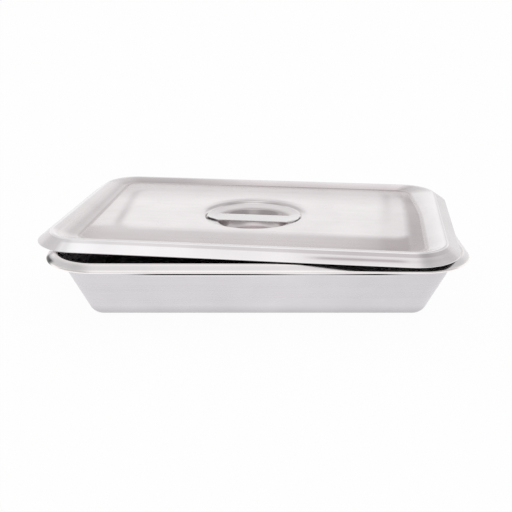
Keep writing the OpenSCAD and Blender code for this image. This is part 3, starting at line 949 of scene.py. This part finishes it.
# Brightness of the surroundings against the height of a direction, behind the object and on the camera's
# side, and the range over which one passes into the other from front to back
BEHIND = [
    (0, 1.0),
    (0.325, 1.0),
    (0.38, 0.84),
    (0.60, 0.80),
    (0.72, 0.86),
    (0.88, 0.78),
    (0.97, 0.95),
    (1, 0.98),
]
BEFORE = [(0, 0.60), (0.45, 0.55), (0.75, 0.55), (0.93, 0.80), (0.99, 0.98)]
SIDE_RANGE = (-0.12, 0.12)
# A darker screen behind the object on the right, and a brighter window in the middle of the camera's side
SCREEN_FROM, SCREEN_TO, SCREEN_DEPTH = (0.19, 0.27), (0.38, 0.50), 0.16
WINDOW_EDGE, WINDOW_LIGHT = (0.15, 0.40), 0.25


def seen_rays(s):
    """1 for rays from the camera and rays that metal or glass sends on"""
    path = s.add("LightPath")
    seen = s.math("MAXIMUM", path.outputs["Is Camera Ray"], path.outputs["Is Glossy Ray"])
    return s.math("MAXIMUM", seen, path.outputs["Is Transmission Ray"])


def mix_shader(s, factor, first, second):
    """A shader between two"""
    mixed = s.add("MixShader")
    for i, value in enumerate((factor, first.outputs[0], second.outputs[0])):
        s.put(mixed, str(i), value)
    return mixed.outputs[0]


def build_floor():
    half = FLOOR_SIZE / 2
    corners = [(-half, -half, 0), (half, -half, 0), (half, half, 0), (-half, half, 0)]
    mesh = bpy.data.meshes.new("floor")
    mesh.from_pydata(corners, [], [(0, 1, 2, 3)])
    floor = bpy.data.objects.new("floor", mesh)
    bpy.context.scene.collection.objects.link(floor)
    material, s = new_material("floor_white")
    paper = s.add("BsdfDiffuse", Color=FLOOR_PAPER)
    white = s.add("Emission", Strength=1.0)
    seen = s.math("MULTIPLY", seen_rays(s), FLOOR_WHITE)
    s.put(s.add("OutputMaterial"), "Surface", mix_shader(s, seen, paper, white))
    mesh.materials.append(material)


def brightness(s, height, stops):
    """Grey level from a ramp over the height of a direction"""
    ramp = s.add("ValToRGB", Fac=height)
    band = ramp.color_ramp
    while len(band.elements) < len(stops):
        band.elements.new(0.5)
    for element, (position, level) in zip(band.elements, stops):
        element.position = position
        element.color = (level, level, level, 1)
    return ramp.outputs["Color"]


def build_world():
    """Studio surroundings that the metal mirrors. The camera itself sees plain white."""
    world = bpy.data.worlds.new("studio")
    world.use_nodes = True
    bpy.context.scene.world = world
    s = Shader(world.node_tree)
    direction = s.add("SeparateXYZ", Vector=s.add("TexCoord").outputs["Generated"])
    x, y, z = direction.outputs
    screen_left = s.span(x, *SCREEN_FROM, 0.0, SCREEN_DEPTH, soft=True)
    screen_right = s.span(x, *SCREEN_TO, 1.0, 0.0, soft=True)
    unscreened = s.math("SUBTRACT", 1.0, s.math("MULTIPLY", screen_left, screen_right))
    back_level = s.math("MULTIPLY", brightness(s, z, BEHIND), unscreened)
    window = s.span(s.math("ABSOLUTE", x), *WINDOW_EDGE, WINDOW_LIGHT, 0.0, soft=True)
    front_level = s.math("ADD", brightness(s, z, BEFORE), window)
    level = s.add("Mix", {"data_type": "FLOAT"})
    s.put(level, "0", s.span(y, *SIDE_RANGE, soft=True))
    s.put(level, "2", front_level)
    s.put(level, "3", back_level)
    around = s.add("Background", Color=(1, 1, 1, 1), Strength=level.outputs[0])
    white = s.add("Background", Color=(1, 1, 1, 1), Strength=1.0)
    from_camera = s.add("LightPath").outputs["Is Camera Ray"]
    s.put(s.add("OutputWorld"), "Surface", mix_shader(s, from_camera, around, white))


def build_lamp():
    data = bpy.data.lights.new("overhead_soft", "AREA")
    data.size = LAMP_SIZE
    data.energy = LAMP_POWER
    lamp = bpy.data.objects.new("overhead_soft", data)
    lamp.location = LAMP_PLACE
    bpy.context.scene.collection.objects.link(lamp)


# Camera: found by fitting the edges of tray and lid to the photograph
CAMERA_SENSOR = 36
CAMERA_LENS = 58.6
CAMERA_DISTANCE = 0.6717
CAMERA_DOWN = 20.07
LOOK_AT = Vector((-0.00145, 0.0, 0.0208))


def build_camera():
    data = bpy.data.cameras.new("camera")
    data.sensor_width = CAMERA_SENSOR
    data.lens = CAMERA_LENS
    camera = bpy.data.objects.new("camera", data)
    cos_down, sin_down = unit(CAMERA_DOWN)
    camera.location = LOOK_AT + CAMERA_DISTANCE * Vector((0, -cos_down, sin_down))
    camera.rotation_euler = (math.radians(90 - CAMERA_DOWN), 0, 0)
    bpy.context.scene.collection.objects.link(camera)
    bpy.context.scene.camera = camera


# Steels: satin tone, bright tone, the tone that painted shade darkens towards, roughness where satin and
# where bright, and how strongly it is brushed
DARK_SHADE_TONE = (0.02, 0.02, 0.02)
WARM_SHADE_TONE = (0.08, 0.02, 0.03)
PAN_STEEL = (0.655, 0.640, 0.680), (0.82, 0.785, 0.78), DARK_SHADE_TONE, 0.34, 0.16, 0.45
LID_STEEL = (0.815, 0.762, 0.763), (0.885, 0.865, 0.878), WARM_SHADE_TONE, 0.30, 0.14, 0.8
STRAP_STEEL = (0.79, 0.775, 0.775), (0.81, 0.795, 0.795), DARK_SHADE_TONE, 0.30, 0.26, 0.5


def dress(piece, material, body, replaced):
    """Material, body and slot of a piece that stands for a node"""
    piece.data.materials.append(material)
    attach(piece, body)
    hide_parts(replaced)


build_camera()
build_floor()
build_world()
build_lamp()

tray = build_tray()
lid, lid_place = build_lid()
strap = build_strap(lid_place)

dress(tray, steel("pan_steel", *PAN_STEEL), "tray", "tray_pan")
dress(lid, steel("lid_steel", *LID_STEEL), "lid", "lid_cover")
dress(strap, steel("strap_steel", *STRAP_STEEL), "lid", "handle_strap")

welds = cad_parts["spot_welds"]
welds.data.materials.clear()
welds.data.materials.append(weld_metal())

bpy.context.scene.view_settings.view_transform = "Standard"
